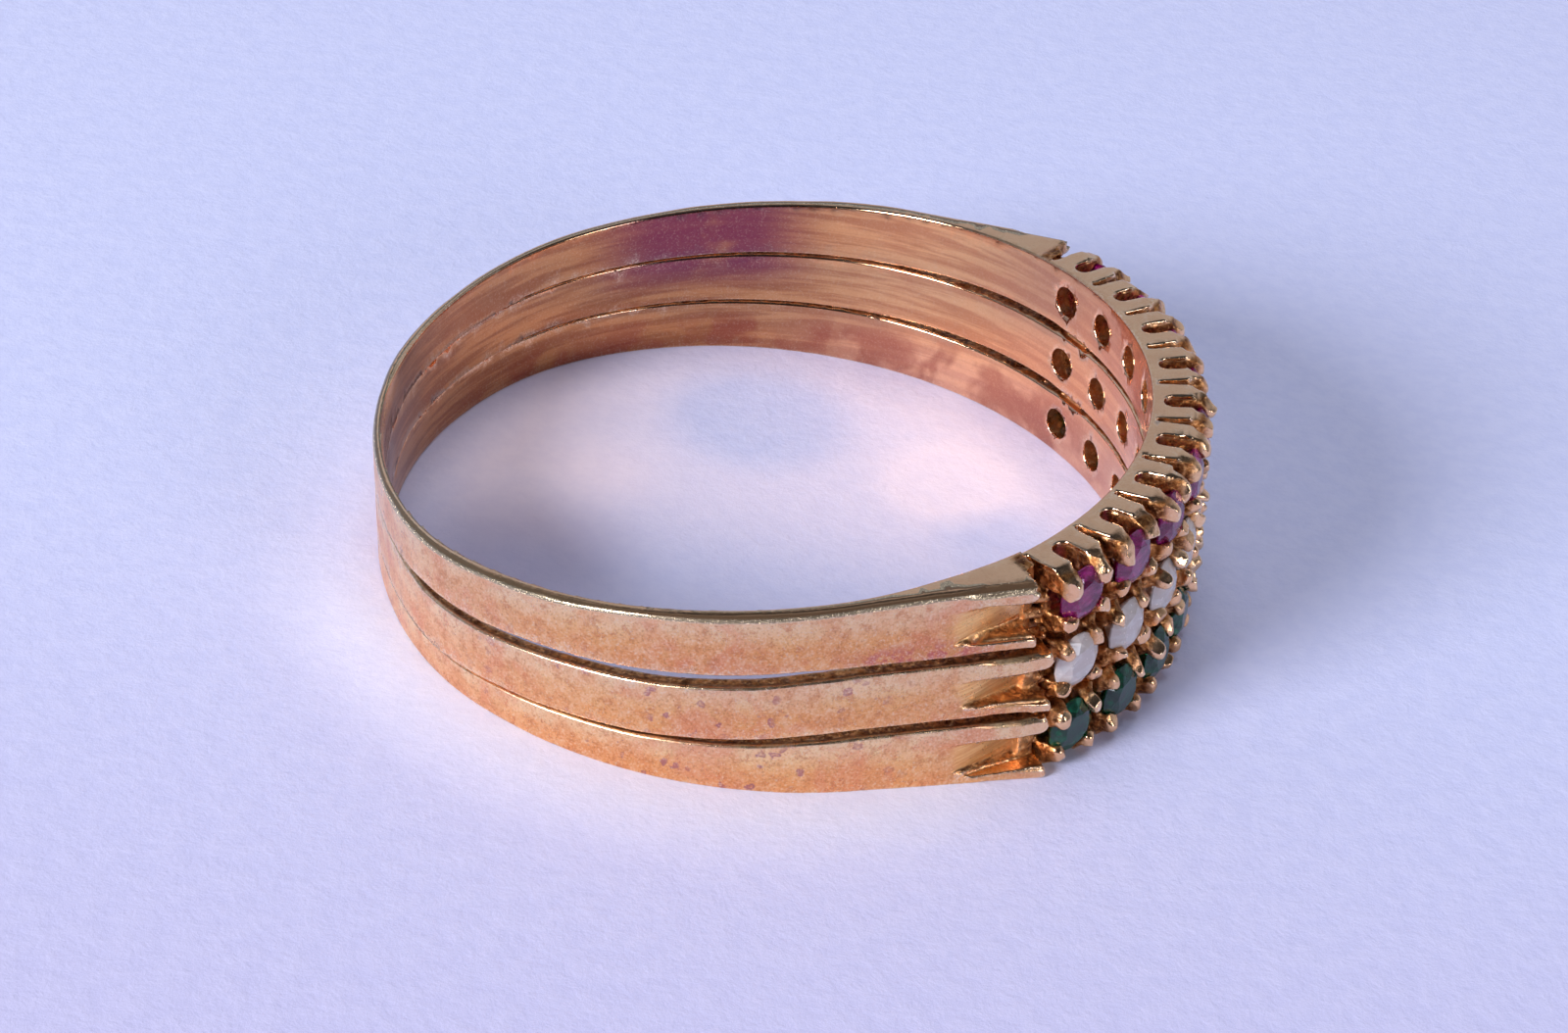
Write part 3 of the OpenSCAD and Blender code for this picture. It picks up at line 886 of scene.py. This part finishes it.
def paper_finish():
    """Pale lavender paper with a fine tooth, and the warm light that the gold throws on it."""
    f = Finish("pale_paper")
    at = f.stretched(f.node("TexCoord", out="Object"), (1000, 1000, 1000))
    x, y, _ = f.axes(at)

    def spot(across, up, near, far):
        away = ((x - across) ** 2 + (y - up) ** 2) ** 0.5
        return f.step(away, far, near)

    tooth = f.grain(at, 1.9, 5, 0.62)
    fibre = f.grain(at, 5.5, 4, 0.7)
    colour = f.blend(f.step(tooth, 0.35, 0.65), (0.67, 0.70, 0.94), (0.71, 0.735, 0.96))
    # Darker and pinker towards the front
    colour = f.blend(f.step(y, 4, -22) * 0.3, colour, (0.55, 0.40, 0.60))
    # A painted shadow inside the ring, beside its front left wall
    colour = f.blend(spot(-5.2, -1.8, 0.8, 3.6) * 0.4, colour, (0.29, 0.22, 0.33))
    hole = spot(0, 0.4, 6.4, 8.6) * (1 - spot(-0.6, 5.4, 1.4, 3.0)) * (1 - spot(5.6, 1.3, 0.6, 2.2))
    glow = hole * f.step(y, -2.2, 2.2) * 0.55 + spot(4.1, 3.5, 0.2, 2.4) * 0.9
    glow = glow + spot(-3.9, 2.2, 0.2, 2.2) * 0.3 + hole * spot(6.0, 6.0, 0.5, 4.0) * 0.3
    light = f.blend(glow, (0, 0, 0), (0.27, 0.14, 0.045))
    front = spot(0, 0, 9.2, 12.2) * (1 - spot(0, 0, 7.5, 8.6)) * f.step(y, -1.0, -6.0) * f.step(x, 8.5, 4.0)
    light = f.blend(front, light, (0.13, 0.13, 0.09))
    normal = f.relief(tooth * 0.6 + fibre * 0.4, 0.00013, 0.35)
    return f.surface(Base_Color=colour, Roughness=0.85, Normal=normal, Emission_Color=light,
                     Emission_Strength=1.0)


GOLD = gold_finish()
GEMS = {
    "ruby": gem_finish("worn_ruby", (0.30, 0.0, 0.12), (0.86, 0.06, 0.44), 0.09, 0.7, 1.7),
    "white": gem_finish("milky_white_stone", (0.90, 0.80, 0.72), (1.0, 0.95, 0.88), 0.16, 0.35, 1.6),
    "emerald": gem_finish("worn_emerald", (0.0, 0.07, 0.03), (0.0, 0.28, 0.11), 0.09, 0.75, 1.58),
}

# The pieces

metal = bmesh.new()
metal.from_mesh(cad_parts["gold_ring"].data)
bmesh.ops.remove_doubles(metal, verts=metal.verts, dist=1e-7)
bmesh.ops.transform(metal, matrix=TO_REST.inverted(), verts=metal.verts)
for name, row in BANDS.items():
    finished(gold_band(metal, name, row), name, GOLD)
metal.free()

for name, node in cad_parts.items():
    if name != "gold_ring":
        node.data.materials.clear()
        node.data.materials.append(GEMS[name.split("_")[0]])


# Paper, lights and camera


def paper():
    """A wide flat sheet under the ring."""
    shape = bmesh.new()
    bmesh.ops.create_grid(shape, x_segments=2, y_segments=2, size=0.6)
    mesh = bpy.data.meshes.new("paper")
    shape.to_mesh(mesh)
    shape.free()
    mesh.materials.append(paper_finish())
    sheet = bpy.data.objects.new("paper", mesh)
    bpy.context.scene.collection.objects.link(sheet)


def soft_light(name, turn, rise, spread, power, colour, mirrored=True):
    """A round soft light, half a metre away: its turn, its rise and its half spread are in degrees."""
    lamp = bpy.data.lights.new(name, "AREA")
    lamp.shape = "DISK"
    lamp.size = math.tan(math.radians(spread))
    lamp.energy = power
    lamp.color = colour
    turn, rise = math.radians(turn), math.radians(rise)
    way = Vector((math.cos(rise) * math.cos(turn), math.cos(rise) * math.sin(turn), math.sin(rise)))
    holder = bpy.data.objects.new(name, lamp)
    holder.location = way * 0.5
    holder.rotation_euler = (-way).to_track_quat("-Z", "Y").to_euler()
    holder.visible_glossy = mirrored
    bpy.context.scene.collection.objects.link(holder)


def room():
    """The room round the paper: dark in front, grey-blue walls behind."""
    world = bpy.data.worlds.new("room")
    bpy.context.scene.world = world
    world.use_nodes = True
    n = Nodes(world.node_tree)
    way = n.node("TexCoord", out="Generated")
    x, y, z = n.axes(way)
    back = n.step(y, -0.3, 0.7) * n.step(z, 0.88, 0.58)
    side = n.step(x * -1, 0.3, 0.95) * 0.12 + n.step(x, 0.35, 0.95) * 0.08
    level = back * 0.42 + side + n.step(z, 0.9, 1.0) * 0.07 + 0.03
    colour = n.blend(level, (0.0, 0.0, 0.0), (0.9, 0.98, 1.25))
    n.node("OutputWorld", inputs={"Surface": n.node("Background", inputs={"Color": colour})})


def camera():
    """The photo's view: down by 34 degrees, a little from the left and rolled."""
    down, swing, roll = math.radians(34.13), math.radians(3.3), math.radians(5.82)
    away = 0.0726
    turn = Matrix.Rotation(swing, 3, "Z")
    target = turn @ Vector((0.00053, -0.00173, 0.002))
    ahead = turn @ Vector((0, math.cos(down), -math.sin(down)))
    right = ahead.cross(Vector((0, 0, 1))).normalized()
    up = right.cross(ahead)
    right, up = math.cos(roll) * right + math.sin(roll) * up, math.cos(roll) * up - math.sin(roll) * right
    lens = bpy.data.cameras.new("camera")
    lens.sensor_width = 36
    lens.lens = 74.86
    lens.clip_start = 0.005
    lens.clip_end = 5
    holder = bpy.data.objects.new("camera", lens)
    facing = Matrix((right, up, -ahead)).transposed().to_4x4()
    holder.matrix_world = Matrix.Translation(target - ahead * away) @ facing
    bpy.context.scene.collection.objects.link(holder)
    bpy.context.scene.camera = holder


paper()
room()
soft_light("window", -133, 24, 11.5, 2.75, (0.98, 0.99, 1.12))
soft_light("ceiling", 97, 80, 20, 0.74, (0.98, 1.0, 1.12), mirrored=False)
soft_light("side_window", -38, 20, 10, 0.47, (0.98, 0.99, 1.12))
camera()
bpy.context.scene.view_settings.view_transform = "Standard"
